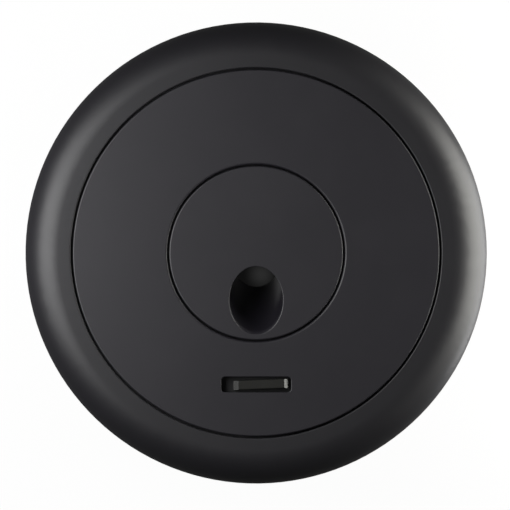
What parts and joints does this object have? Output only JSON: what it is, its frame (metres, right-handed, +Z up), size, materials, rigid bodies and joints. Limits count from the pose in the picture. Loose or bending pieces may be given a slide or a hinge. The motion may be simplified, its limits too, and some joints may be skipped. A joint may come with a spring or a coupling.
{
  "type": "desk grommet",
  "caption": "Round desk cable grommet with a rolled flange, a lift-out lid with a sliding lock, a turning turret with a slanted cable outlet, and swing-out claws.",
  "frame": {"origin": "on the sleeve's axis, at the desk top that the flange sits on", "axes": "+Z up along the sleeve's axis, -Y towards the lock's slot"},
  "size_m": [0.102, 0.102, 0.047],
  "materials": {
    "black_plastic": "fine satin moulded plastic, black",
    "inner_plastic": "plain moulded plastic, black",
    "claw_nylon": "glass-filled nylon, black",
    "tab_plastic": "polished plastic, black",
    "foam": "closed-cell foam, black",
    "rubber": "matt rubber, black",
    "zinc_steel": "zinc-plated steel",
    "brass": "turned brass"
  },
  "bodies": {
    "housing": {"flanged_sleeve": "black_plastic", "desk_gasket": "foam", "lid_cushion": "rubber"},
    "lid": {"lid_plate": "black_plastic", "backing_plate": "inner_plastic", "backing_screws": "zinc_steel", "turret_washer": "rubber"},
    "turret": {"turret": "black_plastic"},
    "lock": {"lock_ring": "inner_plastic", "lock_tab": "tab_plastic"},
    "screw_right": {"clamp_screw_right": "zinc_steel", "screw_clip_right": "zinc_steel"},
    "screw_left": {"clamp_screw_left": "zinc_steel", "screw_clip_left": "zinc_steel"},
    "claw_right": {"claw_right": "claw_nylon", "claw_insert_right": "brass", "claw_pad_right": "rubber"},
    "claw_left": {"claw_left": "claw_nylon", "claw_insert_left": "brass", "claw_pad_left": "rubber"}
  },
  "joints": [
    {"name": "lid_lift", "type": "slide", "parent": "housing", "child": "lid", "axis": [0, 0, 1], "range_m": [0, 0.03]},
    {"name": "turret_turn", "type": "hinge", "parent": "lid", "child": "turret", "pos_m": [0, 0, 0.005], "axis": [0, 0, 1], "continuous": true},
    {"name": "lock_turn", "type": "hinge", "parent": "lid", "child": "lock", "pos_m": [0, 0, 0.005], "axis": [0, 0, -1], "range_deg": [0, 4.5]},
    {"name": "claw_right_swing", "type": "hinge", "parent": "housing", "child": "screw_right", "pos_m": [0.0333, 0, -0.005], "axis": [0, 0, -1], "range_deg": [0, 90]},
    {"name": "claw_right_rise", "type": "slide", "parent": "screw_right", "child": "claw_right", "axis": [0, 0, 1], "range_m": [0, 0.015]},
    {"name": "claw_left_swing", "type": "hinge", "parent": "housing", "child": "screw_left", "pos_m": [-0.0333, 0, -0.005], "axis": [0, 0, -1], "range_deg": [0, 90]},
    {"name": "claw_left_rise", "type": "slide", "parent": "screw_left", "child": "claw_left", "axis": [0, 0, 1], "range_m": [0, 0.015]}
  ]
}
